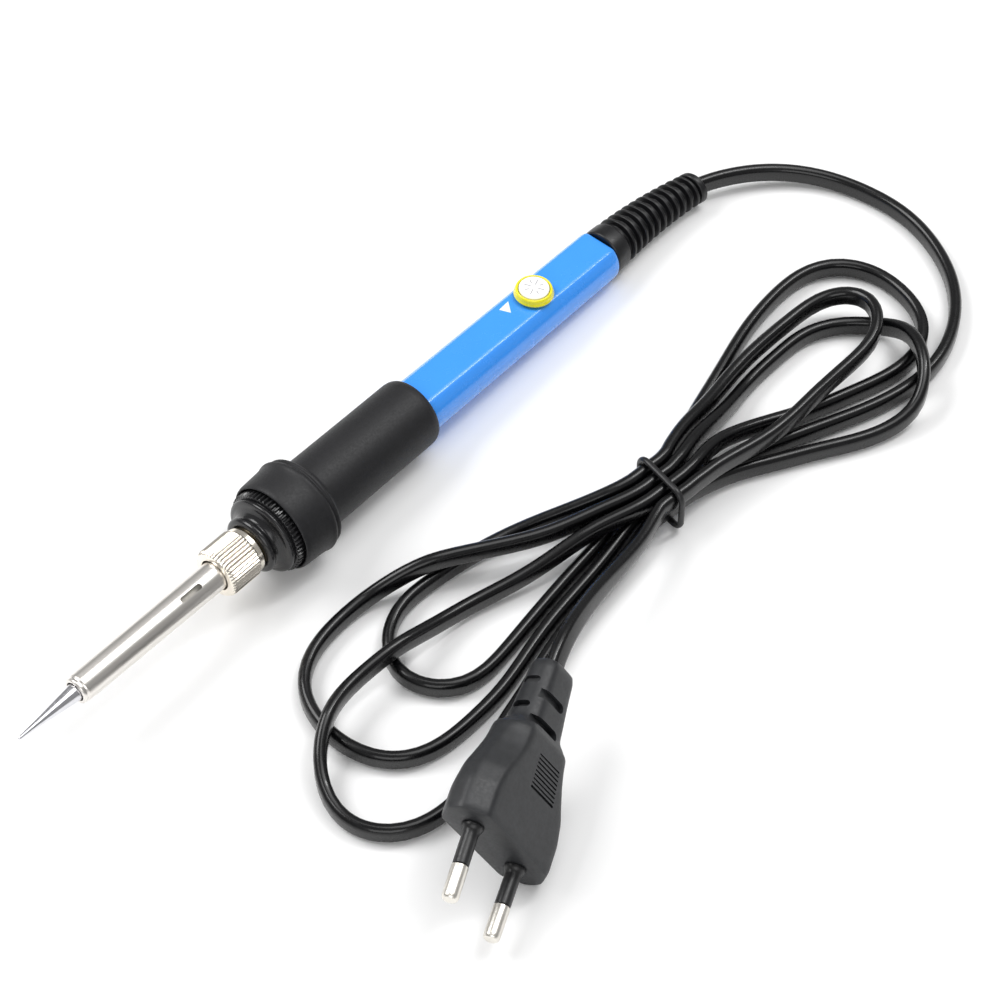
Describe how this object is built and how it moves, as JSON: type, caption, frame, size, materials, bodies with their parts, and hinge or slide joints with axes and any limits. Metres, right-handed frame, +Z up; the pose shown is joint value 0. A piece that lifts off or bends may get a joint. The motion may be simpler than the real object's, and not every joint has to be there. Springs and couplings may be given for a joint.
{
  "type": "soldering iron",
  "caption": "Mains soldering iron with a pencil tip, a temperature knob on a blue handle, a ribbed boot, a tied flat cord and a two-pin plug.",
  "frame": {"origin": "on the table below the middle of the iron's box, the cord and plug left out", "axes": "+X along the iron from its tip towards its cord, +Y to the left of that, away from the cord, +Z up from the table"},
  "size_m": [0.2793, 0.127, 0.0324],
  "materials": {
    "tip_chrome": "polished",
    "barrel_steel": "satin",
    "nut_plate": "satin champagne plating",
    "bush_brass": "machined",
    "neck_plastic": "glossy phenolic",
    "grip_rubber": "fine matte",
    "handle_plastic": "glossy moulded",
    "knob_plastic": "translucent",
    "disc_plastic": "satin, grey ticks",
    "boot_rubber": "matte ribbed",
    "flex_jacket": "semi-gloss",
    "plug_plastic": "fine matte",
    "pin_nickel": "nickel plated",
    "heater_ceramic": "unglazed",
    "board_laminate": "solder mask",
    "component_case": "moulded",
    "wire_jacket": "woven sleeve"
  },
  "bodies": {
    "iron": {"heater_rod": "heater_ceramic", "heater_base": "heater_ceramic", "threaded_bush": "bush_brass", "front_cap": "neck_plastic", "grip_sleeve": "grip_rubber", "handle_shell": "handle_plastic", "potentiometer_body": "component_case", "circuit_board": "board_laminate", "triac": "component_case", "capacitor": "handle_plastic", "power_resistor": "heater_ceramic", "heater_lead_a": "wire_jacket", "heater_lead_b": "wire_jacket", "mains_core_a": "wire_jacket", "mains_core_b": "wire_jacket", "cord_boot": "boot_rubber", "mains_cord": "flex_jacket", "cord_tie": "flex_jacket", "plug_body": "plug_plastic", "pin_left": "pin_nickel", "pin_right": "pin_nickel", "pin_sleeve_left": "plug_plastic", "pin_sleeve_right": "plug_plastic"},
    "knob": {"control_knob": "knob_plastic", "knob_disc": "disc_plastic", "potentiometer_shaft": "barrel_steel"},
    "tip": {"soldering_tip": "tip_chrome"},
    "barrel": {"barrel_sleeve": "barrel_steel"},
    "nut": {"barrel_nut": "nut_plate"}
  },
  "joints": [
    {"name": "knob_turn", "type": "hinge", "parent": "iron", "child": "knob", "pos_m": [0.05991, 0, 0.01651], "axis": [0.0518, 0, 0.9987], "range_deg": [-150, 150]},
    {"name": "tip_pull", "type": "slide", "parent": "iron", "child": "tip", "axis": [-0.9987, 0, 0.0518], "range_m": [0, 0.07]},
    {"name": "barrel_slide", "type": "slide", "parent": "tip", "child": "barrel", "axis": [-0.9987, 0, 0.0518], "range_m": [0, 0.0045]},
    {"name": "nut_turn", "type": "hinge", "parent": "barrel", "child": "nut", "pos_m": [-0.05355, 0, 0.01439], "axis": [-0.9987, 0, 0.0518], "range_deg": [0, 2160]}
  ],
  "couplings": [
    {"joint": "barrel_slide", "follows": "nut_turn", "m_per_rad": 0.000119}
  ]
}
